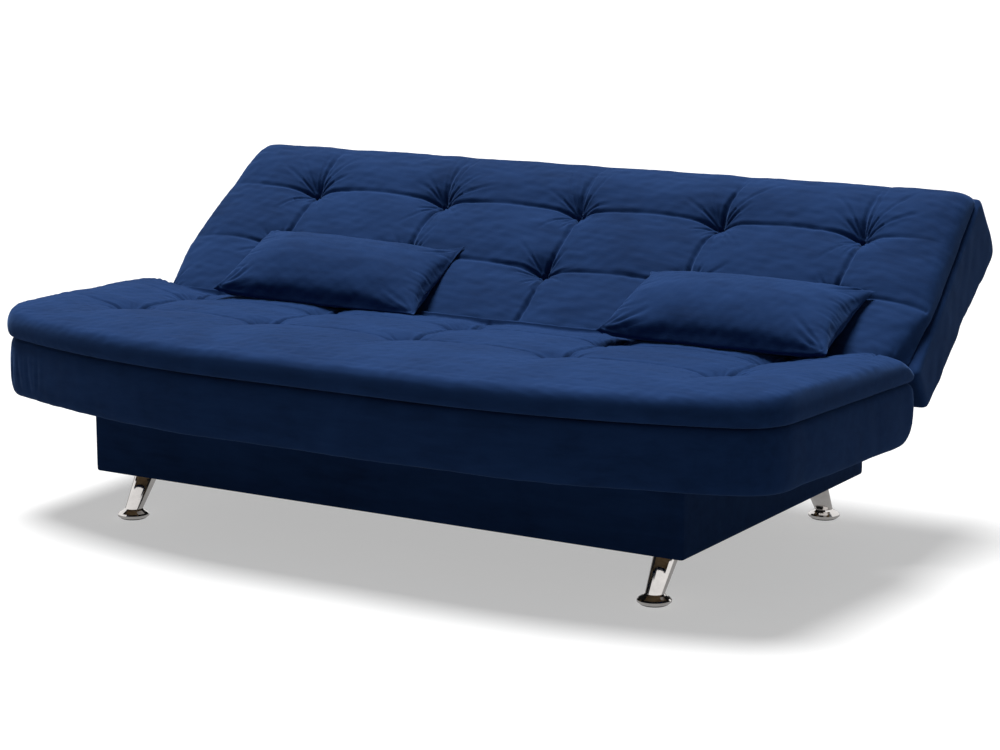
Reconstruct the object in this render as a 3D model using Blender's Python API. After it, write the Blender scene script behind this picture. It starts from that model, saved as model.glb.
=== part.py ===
"""Three-position sofa bed: a box base on four conical legs, a fixed bow-fronted seat,
a back that reclines on two ratchet hinges, and two loose pillows.

Metres, +Z up, the front faces -Y.  The origin is on the floor under the middle of the
object.  The back's pieces hang from an empty on the hinge axis: in its frame +Y runs up
the back, +Z comes out of its padded face, and turning the empty to zero makes the bed.
"""
import math

import bmesh
import bpy
from mathutils import Matrix, Vector

# ---- driving dimensions -------------------------------------------------------------
GAP = 0.0003                      # air left between touching pieces

BASE_HALF_WIDTH = 0.703
BASE_FRONT = -0.4105
BASE_DEPTH = 0.825
BASE_BOTTOM = 0.100               # height of the legs
BASE_TOP = 0.2545
BASE_COVER = 0.008                # fabric and wadding on the base
BOARD = 0.022                     # pine boards of the frames
TOP_SHEET = 0.003                 # fabric-faced sheet that closes the base's top

LEG_X = 0.629
LEG_TOP_INSET = 0.088             # from the base's face to the middle of a leg's top
LEG_SPLAY = 0.058                 # how far a foot stands out beyond its leg's top
LEG_TOP_RADIUS = 0.0265
LEG_LOW_RADIUS = 0.019
FOOT_RADIUS = 0.0335
FOOT_HEIGHT = 0.019
FLANGE_RADIUS = 0.042
FLANGE = 0.0027
GLIDE_HEIGHT = 0.003
BLOCK_SIZE = 0.105
BLOCK_HEIGHT = 0.060

SEAT_BOTTOM = BASE_TOP + GAP
SEAT_FRONT = -0.5935
SEAT_REAR = 0.0915
SEAT_FRAME_TOP = 0.380
SEAT_FLAT_HALF = 0.220            # straight middle of the bowed front
BOW_RADIUS = 1.840
BOW_TURN = math.radians(20.9)
CORNER_RADIUS = 0.055
SIDE_TAPER = math.radians(4.0)    # the sides widen towards the back
BOTTOM_SHEET = 0.003
DECK = 0.006
SEAT_TOP = 0.435
CUSHION_REAR = 0.0545
BORDER_JOIN = -0.3905             # where the front border meets the side borders

HINGE_Y = 0.1415
HINGE_Z = 0.320
BACK_ANGLE = math.radians(38.26)  # from lying flat to the middle position, as drawn
UPRIGHT_TURN = math.radians(32.0) # from the middle position to upright
BACK_HALF_WIDTH = 0.938           # at the hinge
BACK_TAPER = 0.054                # the back narrows by this much a metre, each side
BACK_LOW = 0.034                  # lower end of the back's frame, up from the hinge
BACK_HIGH = 0.522                 # upper end
BACK_FACE = 0.060                 # seam between the back's frame and its cushion
BACK_KNEE = (0.515, -0.088)       # thickest point, at the top of the back's rear face
BACK_HEEL = -0.034                # depth of the rear face at the lower end
BACK_COVER = 0.010
BACK_DECK = 0.004
BACK_CUSHION_TOP = 0.127
BACK_CUSHION_HIGH = 0.508

PLATE = 0.004                     # steel of the hinge arms
SEAT_ARM_X = 0.8615               # inner face of the fixed arm
SEAT_ARM_FRONT = -0.090
BACK_ARM_X = SEAT_ARM_X + PLATE + 0.0005
SIDE_BOARD = 0.020
BOLT_RADIUS = 0.006
BOLT_HEAD_RADIUS = 0.011
BOLT_HEAD = 0.004
WHEEL_RADIUS = 0.036              # tips of the ratchet wheel
NOTCH_RADIUS = 0.029
NOTCH_HALF_ANGLE = math.radians(8.0)
PAWL_TIP_ANGLE = math.radians(245.0)
PAWL_PIN = (HINGE_Y - 0.046, HINGE_Z - 0.037)
PAWL_PIN_RADIUS = 0.004
PAWL_BOSS = 0.0085
PAWL_CLEAR = 0.0006               # air between the pawl and the wheel's tips, as drawn

PILLOW_WIDTH = 0.500
PILLOW_HEIGHT = 0.250
PILLOW_THICK = 0.110
PILLOW_Y = 0.0745
PILLOW_Z = 0.5165
PILLOW_TILT = math.radians(27.0)
PILLOW_LEFT_X = -0.414
PILLOW_RIGHT_X = 0.553

BASE_REAR = BASE_FRONT + BASE_DEPTH
SEAT_RAIL_X = SEAT_ARM_X + PLATE + GAP         # inner face of the seat's side boards
BACK_RAIL_X = BACK_ARM_X + PLATE + GAP         # inner face of the back's side boards
INNER_SPAN = SEAT_ARM_X - 0.0007               # half length of what fits between the arms


# ---- materials ----------------------------------------------------------------------
def material(name, color, roughness, metallic=0.0):
    mat = bpy.data.materials.get(name)
    if mat is None:
        mat = bpy.data.materials.new(name)
        mat.use_nodes = True
        shader = mat.node_tree.nodes["Principled BSDF"]
        shader.inputs["Base Color"].default_value = (*color, 1.0)
        shader.inputs["Roughness"].default_value = roughness
        shader.inputs["Metallic"].default_value = metallic
        mat.diffuse_color = (*color, 1.0)
    return mat


def velvet():
    return material("navy_velvet", (0.008, 0.030, 0.130), 0.85)


def pine():
    return material("pine", (0.62, 0.43, 0.24), 0.70)


def hardboard():
    return material("hardboard", (0.28, 0.17, 0.09), 0.75)


def lining():
    return material("black_lining", (0.012, 0.012, 0.014), 0.95)


def chrome():
    return material("chrome", (0.80, 0.80, 0.82), 0.10, 1.0)


def black_plastic():
    return material("black_plastic", (0.02, 0.02, 0.02), 0.45)


def zinc_steel():
    return material("zinc_steel", (0.55, 0.56, 0.58), 0.35, 1.0)


# ---- mesh helpers -------------------------------------------------------------------
def add_object(name, bm, mat, parent=None, location=(0, 0, 0)):
    """Turn a closed bmesh into a named object with outward faces."""
    bmesh.ops.recalc_face_normals(bm, faces=bm.faces)
    if bm.calc_volume(signed=True) < 0:
        bmesh.ops.reverse_faces(bm, faces=bm.faces)
    mesh = bpy.data.meshes.new(name)
    bm.to_mesh(mesh)
    bm.free()
    mesh.materials.append(mat)
    obj = bpy.data.objects.new(name, mesh)
    bpy.context.scene.collection.objects.link(obj)
    obj.parent = parent
    obj.location = location
    mesh.shade_smooth()
    mesh.set_sharp_from_angle(angle=math.radians(35))
    return obj


def loft(rings):
    """Skin equal rings of points into one closed body, capped at both ends."""
    bm = bmesh.new()
    layers = [[bm.verts.new(p) for p in ring] for ring in rings]
    count = len(layers[0])
    for low, high in zip(layers, layers[1:]):
        for i in range(count):
            j = (i + 1) % count
            bm.faces.new((low[i], low[j], high[j], high[i]))
    bm.faces.new(list(reversed(layers[0])))
    bm.faces.new(layers[-1])
    return bm


def box(low, high):
    (x0, y0, z0), (x1, y1, z1) = low, high
    corners = ((x0, y0), (x1, y0), (x1, y1), (x0, y1))
    return loft([[(x, y, z) for x, y in corners] for z in (z0, z1)])


def slab(outline, z0, z1):
    """A flat piece of a plan outline between two heights."""
    return loft([[(x, y, z) for x, y in outline] for z in (z0, z1)])


def side_plate(outline, x0, x1):
    """A flat piece of a side outline (y, z) between two x positions."""
    return loft([[(x, y, z) for y, z in outline] for x in (x0, x1)])


def turned(profile, steps, center=(0.0, 0.0)):
    """A solid turned about the X axis through center, from (x, radius) pairs."""
    y0, z0 = center
    angles = [2 * math.pi * i / steps for i in range(steps)]
    return loft([[(x, y0 + r * math.cos(a), z0 + r * math.sin(a)) for a in angles]
                 for x, r in profile])


def arc(center, radius, start, end, steps):
    """Points on an arc, both ends included."""
    cx, cy = center
    angles = [start + (end - start) * i / steps for i in range(steps + 1)]
    return [(cx + radius * math.cos(a), cy + radius * math.sin(a)) for a in angles]


def soften(obj, width, segments=1):
    bevel = obj.modifiers.new("soft_edges", "BEVEL")
    bevel.width = width
    bevel.segments = segments
    bevel.limit_method = "ANGLE"
    bevel.angle_limit = math.radians(60)


def drill(obj, x0, x1, center, radius, steps=24):
    """Cut a round hole along X through obj, given in the space of obj's parent."""
    bm = turned([(x0, radius), (x1, radius)], steps, center)
    cutter = add_object(obj.name + "_drill", bm, zinc_steel(), obj.parent)
    cutter.hide_render = True
    cutter.display_type = "WIRE"
    cut = obj.modifiers.new("hole", "BOOLEAN")
    cut.operation = "DIFFERENCE"
    cut.solver = "EXACT"
    cut.object = cutter


# ---- plan of the seat ---------------------------------------------------------------
def seat_half_outline(offset):
    """Right half of the seat's front and side, from the middle of the front backwards."""
    bow_center = (SEAT_FLAT_HALF, SEAT_FRONT + BOW_RADIUS)
    bow = arc(bow_center, BOW_RADIUS + offset, -math.pi / 2, -math.pi / 2 + BOW_TURN, 9)
    end_x = SEAT_FLAT_HALF + BOW_RADIUS * math.sin(BOW_TURN)
    end_y = SEAT_FRONT + BOW_RADIUS * (1 - math.cos(BOW_TURN))
    turn_x = end_x - CORNER_RADIUS * math.sin(BOW_TURN)
    turn_y = end_y + CORNER_RADIUS * math.cos(BOW_TURN)
    corner = arc((turn_x, turn_y), CORNER_RADIUS + offset,
                 -math.pi / 2 + BOW_TURN, -SIDE_TAPER, 7)
    return bow + corner[1:]


def seat_side_x(y, offset=0.0):
    """Half width of the seat at y, behind its front corner."""
    x0, y0 = seat_half_outline(offset)[-1]
    return x0 + (y - y0) * math.tan(SIDE_TAPER)


def mirrored(half):
    """Close a right half outline with its mirror image, counter-clockwise."""
    return half + [(-x, y) for x, y in reversed(half)]


def seat_rail_outline():
    """Outer faces of the seat's boards: a straight middle, two angled runs, two sides."""
    board_edge = SEAT_RAIL_X + SIDE_BOARD
    return [(0.250, SEAT_FRONT + 0.015), (0.852, SEAT_FRONT + 0.130),
            (board_edge, SEAT_FRONT + 0.160), (board_edge, SEAT_REAR - 0.012)]


# ---- base ---------------------------------------------------------------------------
def base_boards():
    low = BASE_BOTTOM + 0.003
    high = BASE_TOP - TOP_SHEET - GAP
    edge_x = BASE_HALF_WIDTH - BASE_COVER - GAP
    front = BASE_FRONT + BASE_COVER + GAP
    rear = BASE_REAR - BASE_COVER - GAP
    add_object("base_front_rail", box((-edge_x, front, low), (edge_x, front + BOARD, high)),
               pine())
    add_object("base_rear_rail", box((-edge_x, rear - BOARD, low), (edge_x, rear, high)),
               pine())
    inner_front = front + BOARD + GAP
    inner_rear = rear - BOARD - GAP
    for side, x in (("left", -edge_x), ("right", edge_x - BOARD)):
        add_object("base_%s_rail" % side,
                   box((x, inner_front, low), (x + BOARD, inner_rear, high)), pine())
    add_object("base_centre_brace",
               box((-BOARD / 2, inner_front, low + 0.004), (BOARD / 2, inner_rear, high)),
               pine())
    block_edge = edge_x - BOARD - GAP
    for side, sx in (("left", -1), ("right", 1)):
        for end, sy, y in (("front", 1, inner_front), ("rear", -1, inner_rear)):
            xs = sorted((sx * block_edge, sx * (block_edge - BLOCK_SIZE)))
            ys = sorted((y, y + sy * BLOCK_SIZE))
            add_object("corner_block_%s_%s" % (end, side),
                       box((xs[0], ys[0], low), (xs[1], ys[1], low + BLOCK_HEIGHT)), pine())


def base_bottom_panel():
    """Thin sheet between the boards, notched at the four corner blocks."""
    x1 = BASE_HALF_WIDTH - BASE_COVER - BOARD - 3 * GAP
    y0 = BASE_FRONT + BASE_COVER + BOARD + 3 * GAP
    y1 = BASE_REAR - BASE_COVER - BOARD - 3 * GAP
    xn = x1 - BLOCK_SIZE - GAP
    yn0 = y0 + BLOCK_SIZE + GAP
    yn1 = y1 - BLOCK_SIZE - GAP
    right = [(xn, y0), (xn, yn0), (x1, yn0), (x1, yn1), (xn, yn1), (xn, y1)]
    add_object("base_bottom_panel",
               slab(mirrored(right), BASE_BOTTOM + 0.0035, BASE_BOTTOM + 0.0065), lining())


def base_top_panel():
    """Sheet over the boards that closes the box, seen behind the seat."""
    x1 = BASE_HALF_WIDTH - BASE_COVER - GAP
    y0 = BASE_FRONT + BASE_COVER + GAP
    y1 = BASE_REAR - BASE_COVER - GAP
    add_object("base_top_panel",
               box((-x1, y0, BASE_TOP - TOP_SHEET), (x1, y1, BASE_TOP)), lining())


def base_covers():
    """Upholstered faces of the base: front and rear over the ends of the sides."""
    x1 = BASE_HALF_WIDTH
    inner = x1 - BASE_COVER
    for end, y0 in (("front", BASE_FRONT), ("rear", BASE_REAR - BASE_COVER)):
        cover = add_object("base_cover_" + end,
                           box((-x1, y0, BASE_BOTTOM), (x1, y0 + BASE_COVER, BASE_TOP)),
                           velvet())
        soften(cover, 0.002)
    y0 = BASE_FRONT + BASE_COVER + GAP
    y1 = BASE_REAR - BASE_COVER - GAP
    for side, x in (("left", -x1), ("right", inner)):
        cover = add_object("base_cover_" + side,
                           box((x, y0, BASE_BOTTOM), (x + BASE_COVER, y1, BASE_TOP)),
                           velvet())
        soften(cover, 0.002)


def leg(name, x, top_y, splay):
    """Leaning cone on a domed foot, with the flange that screws to the corner block."""
    steps = 32
    neck = BASE_BOTTOM - FOOT_HEIGHT
    profile = [(GLIDE_HEIGHT, FOOT_RADIUS - 0.003, 1.0), (0.0055, FOOT_RADIUS, 1.0),
               (0.0095, FOOT_RADIUS, 1.0), (0.0125, FOOT_RADIUS - 0.003, 1.0),
               (0.0155, FOOT_RADIUS - 0.008, 1.0), (0.0178, LEG_LOW_RADIUS + 0.003, 0.99),
               (FOOT_HEIGHT + 0.002, LEG_LOW_RADIUS, 0.96)]
    for i in range(1, 6):
        t = i / 5
        profile.append((FOOT_HEIGHT + 0.002 + (neck - 0.002) * t,
                        LEG_LOW_RADIUS + (LEG_TOP_RADIUS - LEG_LOW_RADIUS) * t,
                        0.96 * (1 - t)))
    profile += [(BASE_BOTTOM + 0.0002, FLANGE_RADIUS, 0.0),
                (BASE_BOTTOM + FLANGE, FLANGE_RADIUS, 0.0)]
    angles = [2 * math.pi * i / steps for i in range(steps)]
    rings = [[(x + r * math.cos(a), top_y + splay * lean + r * math.sin(a), z) for a in angles]
             for z, r, lean in profile]
    add_object(name, loft(rings), chrome())


def foot_glide(name, x, y):
    angles = [2 * math.pi * i / 32 for i in range(32)]
    rings = [[(x + r * math.cos(a), y + r * math.sin(a), z) for a in angles]
             for z, r in ((0.0, 0.026), (0.001, 0.028), (GLIDE_HEIGHT - GAP, 0.028))]
    add_object(name, loft(rings), black_plastic())


def legs():
    for side, x in (("left", -LEG_X), ("right", LEG_X)):
        for end, y, out in (("front", BASE_FRONT, -1), ("rear", BASE_REAR, 1)):
            top_y = y - out * LEG_TOP_INSET
            splay = out * LEG_SPLAY
            leg("leg_%s_%s" % (end, side), x, top_y, splay)
            foot_glide("foot_glide_%s_%s" % (end, side), x, top_y + splay)


# ---- seat ---------------------------------------------------------------------------
def seat_boards():
    low = SEAT_BOTTOM + BOTTOM_SHEET + GAP
    high = SEAT_FRAME_TOP - DECK - 2 * GAP
    bend, end, side, rear = seat_rail_outline()
    depth = SIDE_BOARD
    add_object("seat_front_rail",
               box((-bend[0] + 0.003, bend[1], low), (bend[0] - 0.003, bend[1] + depth, high)),
               pine())
    for name, sign in (("left", -1), ("right", 1)):
        run = [bend, end, (end[0], end[1] + depth), (bend[0], bend[1] + depth)]
        add_object("seat_front_rail_" + name,
                   slab([(sign * x, y) for x, y in run], low, high), pine())
        xs = sorted((sign * SEAT_RAIL_X, sign * side[0]))
        add_object("seat_side_rail_" + name,
                   box((xs[0], side[1], low), (xs[1], rear[1], high)), pine())
    add_object("seat_rear_rail",
               box((-INNER_SPAN, rear[1] - BOARD, low), (INNER_SPAN, rear[1], high)), pine())
    add_object("seat_centre_brace",
               box((-BOARD / 2, bend[1] + depth + GAP, low),
                   (BOARD / 2, rear[1] - BOARD - GAP, high)), pine())


def seat_panels():
    """Lining under the seat and the deck that carries the cushion."""
    outline = mirrored(seat_rail_outline())
    add_object("seat_bottom_panel", slab(outline, SEAT_BOTTOM, SEAT_BOTTOM + BOTTOM_SHEET),
               lining())
    add_object("seat_deck",
               slab(outline, SEAT_FRAME_TOP - DECK - GAP, SEAT_FRAME_TOP - GAP), hardboard())


def seat_borders():
    """Padded faces of the seat's frame, filled out from the boards to the bowed outline."""
    top = SEAT_FRAME_TOP - GAP
    bend, end, side, rear = [(x + GAP, y - GAP) for x, y in seat_rail_outline()]
    outer = seat_half_outline(0.0) + [(seat_side_x(BORDER_JOIN), BORDER_JOIN)]
    inner = [(side[0], BORDER_JOIN), side, end, bend]
    outline = outer + inner + [(-x, y) for x, y in reversed(outer + inner)]
    front = add_object("seat_border_front", slab(outline, SEAT_BOTTOM, top), velvet())
    soften(front, 0.003)
    for name, sign in (("left", -1), ("right", 1)):
        y0 = BORDER_JOIN + GAP
        run = [(side[0], y0), (seat_side_x(y0), y0),
               (seat_side_x(SEAT_REAR), SEAT_REAR), (side[0], SEAT_REAR)]
        border = add_object("seat_border_" + name,
                            slab([(sign * x, y) for x, y in run], SEAT_BOTTOM, top), velvet())
        soften(border, 0.003)
    reach = INNER_SPAN - 0.014                     # stops short of the pawl springs
    add_object("seat_border_rear",
               box((-reach, rear[1] + 2 * GAP, SEAT_BOTTOM), (reach, SEAT_REAR, top)), velvet())


def seat_cushion():
    """Foam slab with a rolled front edge and a rear edge rounded clear of the back."""
    layers = ((SEAT_FRAME_TOP, 0.000, CUSHION_REAR), (0.388, 0.005, CUSHION_REAR),
              (0.410, 0.005, CUSHION_REAR - 0.004), (0.426, -0.006, CUSHION_REAR - 0.018),
              (SEAT_TOP, -0.024, CUSHION_REAR - 0.045))
    rings = []
    for z, offset, rear in layers:
        half = seat_half_outline(offset)
        half.append((seat_side_x(rear - 0.05, offset), rear - 0.05))
        half.append((seat_side_x(rear - 0.05, offset) - 0.015, rear - 0.012))
        half.append((seat_side_x(rear - 0.05, offset) - 0.050, rear))
        rings.append([(x, y, z) for x, y in mirrored(half)])
    add_object("seat_cushion", loft(rings), velvet())


# ---- back, modelled lying flat in the frame of its hinge ------------------------------
def hinge_frame():
    empty = bpy.data.objects.new("back_hinge", None)
    bpy.context.scene.collection.objects.link(empty)
    empty.location = (0, HINGE_Y, HINGE_Z)
    empty.rotation_euler = (BACK_ANGLE, 0, 0)
    return empty


def back_half_width(up):
    return BACK_HALF_WIDTH - BACK_TAPER * up


def rear_face(up):
    """Depth of the back's rear face at a distance up from the hinge."""
    run = BACK_KNEE[0] - BACK_LOW
    return BACK_HEEL + (BACK_KNEE[1] - BACK_HEEL) * (up - BACK_LOW) / run


def back_boards(hinge):
    face = BACK_FACE - BACK_DECK - 2 * GAP
    skin = BACK_COVER + GAP
    low = BACK_LOW + 0.006
    high = BACK_HIGH - skin
    bend = BACK_KNEE[0] - 0.013
    side = [(low, rear_face(low) + skin), (bend, rear_face(bend) + skin),
            (high, BACK_KNEE[1] + 0.017), (high, face), (low, face)]
    for name, sign in (("left", -1), ("right", 1)):
        xs = sorted((sign * BACK_RAIL_X, sign * (BACK_RAIL_X + SIDE_BOARD)))
        add_object("back_side_rail_" + name, side_plate(side, *xs), pine(), hinge)
    add_object("back_bottom_rail",
               box((-INNER_SPAN, low, rear_face(low + BOARD) + skin + 0.004),
                   (INNER_SPAN, low + BOARD, face)), pine(), hinge)
    add_object("back_top_rail",
               box((-INNER_SPAN, high - BOARD, rear_face(high) + skin + 0.014),
                   (INNER_SPAN, high, face)), pine(), hinge)
    y0 = low + BOARD + GAP
    y1 = high - BOARD - GAP
    brace = [(y0, rear_face(y0) + skin), (y1, rear_face(y1) + skin), (y1, face), (y0, face)]
    add_object("back_centre_brace", side_plate(brace, -BOARD / 2, BOARD / 2), pine(), hinge)


def back_deck(hinge):
    z1 = BACK_FACE - GAP
    y1 = BACK_HIGH - BACK_COVER - GAP
    edge = BACK_RAIL_X + SIDE_BOARD
    add_object("back_deck",
               box((-edge, BACK_LOW + 0.006, z1 - BACK_DECK), (edge, y1, z1)),
               hardboard(), hinge)


def back_covers(hinge):
    """Padded skin: a rear slab with a rounded knee, a top strip and two wedge sides."""
    knee_y, knee_z = BACK_KNEE
    inner_x = BACK_RAIL_X + SIDE_BOARD + GAP
    z1 = BACK_FACE - GAP
    rear = [(BACK_LOW, BACK_HEEL), (knee_y - 0.012, rear_face(knee_y - 0.012)),
            (knee_y, knee_z + 0.003), (BACK_HIGH, knee_z + 0.016),
            (BACK_HIGH - BACK_COVER, knee_z + 0.016),
            (knee_y - 0.012, rear_face(knee_y - 0.012) + BACK_COVER),
            (BACK_LOW, BACK_HEEL + BACK_COVER)]
    add_object("back_rear_panel", side_plate(rear, -inner_x + GAP, inner_x - GAP),
               velvet(), hinge)
    top_low = knee_z + 0.016 + GAP
    top = add_object("back_top_panel",
                     box((-inner_x + GAP, BACK_HIGH - BACK_COVER, top_low),
                         (inner_x - GAP, BACK_HIGH, z1)), velvet(), hinge)
    soften(top, 0.003)
    wedge = [(BACK_LOW, BACK_HEEL + 0.010), (BACK_LOW + 0.010, rear_face(BACK_LOW + 0.010)),
             (knee_y - 0.012, rear_face(knee_y - 0.012)), (knee_y, knee_z + 0.003),
             (BACK_HIGH, knee_z + 0.016), (BACK_HIGH, z1 - 0.030), (BACK_HIGH - 0.012, z1),
             (BACK_LOW, z1)]
    for name, sign in (("left", -1), ("right", 1)):
        rings = [[(sign * inner_x, y, z) for y, z in wedge],
                 [(sign * (back_half_width(y)), y, z) for y, z in wedge]]
        side = add_object("back_side_panel_" + name, loft(rings), velvet(), hinge)
        soften(side, 0.004)


def back_cushion(hinge):
    """Foam slab whose lower front edge is a quarter round that turns clear of the seat."""
    radius = BACK_CUSHION_TOP - BACK_FACE
    low = BACK_LOW + 0.009
    rings = []
    for z, side_in, top_in in ((BACK_FACE, 0.004, 0.004), (0.072, 0.0, 0.0),
                               (0.100, 0.0, 0.0), (0.116, 0.006, 0.012),
                               (BACK_CUSHION_TOP, 0.024, 0.036)):
        rise = z - BACK_FACE
        y0 = low + radius - math.sqrt(max(radius ** 2 - rise ** 2, 0.0))
        y1 = BACK_CUSHION_HIGH - top_in
        cut = 0.030
        half = [(back_half_width(y0) - side_in - cut / 2, y0),
                (back_half_width(y0) - side_in, y0 + cut / 2),
                (back_half_width(y1) - side_in, y1 - cut),
                (back_half_width(y1) - side_in - cut * 0.3, y1 - cut * 0.3),
                (back_half_width(y1) - side_in - cut, y1)]
        rings.append([(x, y, z) for x, y in mirrored(half)])
    add_object("back_cushion", loft(rings), velvet(), hinge)


# ---- ratchet hinges -------------------------------------------------------------------
def seat_arm(name, sign):
    """Steel arm screwed inside the seat's side board, with the pawl's pin riveted in."""
    y, z = HINGE_Y, HINGE_Z
    outline = [(SEAT_ARM_FRONT, z - 0.042), (PAWL_PIN[0] - 0.004, z - 0.052),
               (PAWL_PIN[0] + 0.014, z - 0.050), (y + 0.016, z - 0.022),
               (y + 0.026, z), (y + 0.018, z + 0.020), (y - 0.010, z + 0.030),
               (SEAT_ARM_FRONT, z + 0.030)]
    x0 = SEAT_ARM_X
    x1 = x0 + PLATE
    plate = add_object(name, side_plate(outline, sign * x0, sign * x1), zinc_steel())
    drill(plate, sign * (x0 - 0.01), sign * (x1 + 0.01), (y, z), BOLT_RADIUS + GAP)
    pin = turned([(sign * (x0 - 0.010), PAWL_PIN_RADIUS), (sign * (x1 + PLATE + 0.0015),
                  PAWL_PIN_RADIUS)], 16, PAWL_PIN)
    tool = add_object(name + "_pin", pin, zinc_steel())
    tool.hide_render = True
    tool.display_type = "WIRE"
    join = plate.modifiers.new("riveted_pin", "BOOLEAN")
    join.operation = "UNION"
    join.solver = "EXACT"
    join.object = tool


def back_arm(name, sign, hinge):
    """Steel arm on the back's side board, ending in the notched ratchet wheel."""
    flat = PAWL_TIP_ANGLE - BACK_ANGLE            # the wheel is drawn with the back flat
    notches = sorted((flat + BACK_ANGLE, flat, flat - UPRIGHT_TURN))
    outline = []
    angle = math.radians(26.0)
    last = math.radians(360.0 - 26.0)
    for middle in notches:
        start = middle - NOTCH_HALF_ANGLE
        outline += arc((0, 0), WHEEL_RADIUS, angle, start, 5)
        outline += arc((0, 0), NOTCH_RADIUS, start, middle + NOTCH_HALF_ANGLE, 3)
        angle = middle + NOTCH_HALF_ANGLE
    outline += arc((0, 0), WHEEL_RADIUS, angle, last, 4)
    half = -outline[-1][1]
    outline += [(0.190, -half), (0.205, -half * 0.4), (0.205, half * 0.4), (0.190, half)]
    plate = add_object(name, side_plate(outline, sign * BACK_ARM_X,
                                        sign * (BACK_ARM_X + PLATE)), zinc_steel(), hinge)
    drill(plate, sign * (BACK_ARM_X - 0.01), sign * (BACK_ARM_X + PLATE + 0.01),
          (0, 0), BOLT_RADIUS + GAP)


def pivot_bolt(name, sign):
    """Shouldered rivet through both arms, on the hinge axis."""
    x0 = SEAT_ARM_X - GAP
    x1 = BACK_ARM_X + PLATE + GAP
    profile = [(x0 - BOLT_HEAD, BOLT_HEAD_RADIUS - 0.001), (x0 - BOLT_HEAD + 0.001,
               BOLT_HEAD_RADIUS), (x0, BOLT_HEAD_RADIUS), (x0, BOLT_RADIUS),
               (x1, BOLT_RADIUS), (x1, BOLT_HEAD_RADIUS),
               (x1 + BOLT_HEAD - 0.001, BOLT_HEAD_RADIUS),
               (x1 + BOLT_HEAD, BOLT_HEAD_RADIUS - 0.001)]
    add_object(name, turned([(sign * x, r) for x, r in profile], 24, (HINGE_Y, HINGE_Z)),
               zinc_steel())


def ratchet_pawl(name, sign):
    """Small lever on the seat arm's pin: a round boss and a tooth under the wheel."""
    tip = Vector((HINGE_Y - PAWL_PIN[0] + WHEEL_RADIUS * math.cos(PAWL_TIP_ANGLE),
                  HINGE_Z - PAWL_PIN[1] + WHEEL_RADIUS * math.sin(PAWL_TIP_ANGLE)))
    inward = Vector((-math.cos(PAWL_TIP_ANGLE), -math.sin(PAWL_TIP_ANGLE)))
    across = Vector((inward.y, -inward.x))
    top = tip - inward * PAWL_CLEAR
    tooth = [top - inward * 0.010 + across * 0.0045, top - inward * 0.003 + across * 0.0030,
             top + across * 0.0015, top - across * 0.0015,
             top - inward * 0.0045 - across * 0.0040]
    boss = arc((0, 0), PAWL_BOSS, math.radians(75.0), math.radians(285.0), 8)
    outline = boss + [(p.x, p.y) for p in tooth]
    x0 = sign * BACK_ARM_X
    x1 = sign * (BACK_ARM_X + PLATE)
    bm = side_plate(outline, x0, x1)
    pawl = add_object(name, bm, zinc_steel(), None, (0, *PAWL_PIN))
    cutter = add_object(name + "_drill",
                        turned([(x0 - sign * 0.01, PAWL_PIN_RADIUS + GAP),
                                (x1 + sign * 0.01, PAWL_PIN_RADIUS + GAP)], 16),
                        zinc_steel(), None, (0, *PAWL_PIN))
    cutter.hide_render = True
    cutter.display_type = "WIRE"
    cut = pawl.modifiers.new("hole", "BOOLEAN")
    cut.operation = "DIFFERENCE"
    cut.solver = "EXACT"
    cut.object = cutter


def pawl_spring(name, sign):
    """Torsion coil round the inner end of the pawl's pin."""
    wire = 0.0009
    coil = 0.0062
    turns = 3
    steps = 12
    sides = 6
    x_start = SEAT_ARM_X - 0.0022
    pitch = 0.0024
    rings = []
    for i in range(turns * steps + 1):
        angle = 2 * math.pi * i / steps
        x = x_start - pitch * i / steps
        radial = Vector((0, math.cos(angle), math.sin(angle)))
        middle = Vector((x, PAWL_PIN[0], PAWL_PIN[1])) + radial * coil
        ring = []
        for k in range(sides):
            a = 2 * math.pi * k / sides
            p = middle + radial * wire * math.cos(a) + Vector((1, 0, 0)) * wire * math.sin(a)
            ring.append((sign * p.x, p.y, p.z))
        rings.append(ring)
    add_object(name, loft(rings), zinc_steel())


# ---- pillows ----------------------------------------------------------------------------
def pillow(name, x):
    """Rectangular knife-edge pillow, fattest in the middle, leaning on the back."""
    across, up = 16, 12
    bm = bmesh.new()

    def thickness(u, v):
        return PILLOW_THICK / 2 * (1 - v * v) ** 0.45 * (1 - u ** 4) ** 0.5

    def spread(i, count):
        return -math.cos(math.pi * i / count)

    grids = []
    for sign in (-1, 1):
        grid = []
        for i in range(across + 1):
            row = []
            for j in range(up + 1):
                u = spread(i, across)
                v = spread(j, up)
                rim = i in (0, across) or j in (0, up)
                if rim and sign == 1:
                    row.append(grids[0][i][j])
                    continue
                z = 0.0 if rim else sign * thickness(u, v)
                row.append(bm.verts.new((u * PILLOW_WIDTH / 2, v * PILLOW_HEIGHT / 2, z)))
            grid.append(row)
        grids.append(grid)
        for i in range(across):
            for j in range(up):
                quad = (grid[i][j], grid[i + 1][j], grid[i + 1][j + 1], grid[i][j + 1])
                bm.faces.new(quad if sign == 1 else tuple(reversed(quad)))
    obj = add_object(name, bm, velvet(), None, (x, PILLOW_Y, PILLOW_Z))
    obj.rotation_euler = (PILLOW_TILT, 0, 0)


# ---- assembly ---------------------------------------------------------------------------
def clear_scene():
    for obj in list(bpy.data.objects):
        bpy.data.objects.remove(obj, do_unlink=True)


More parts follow.
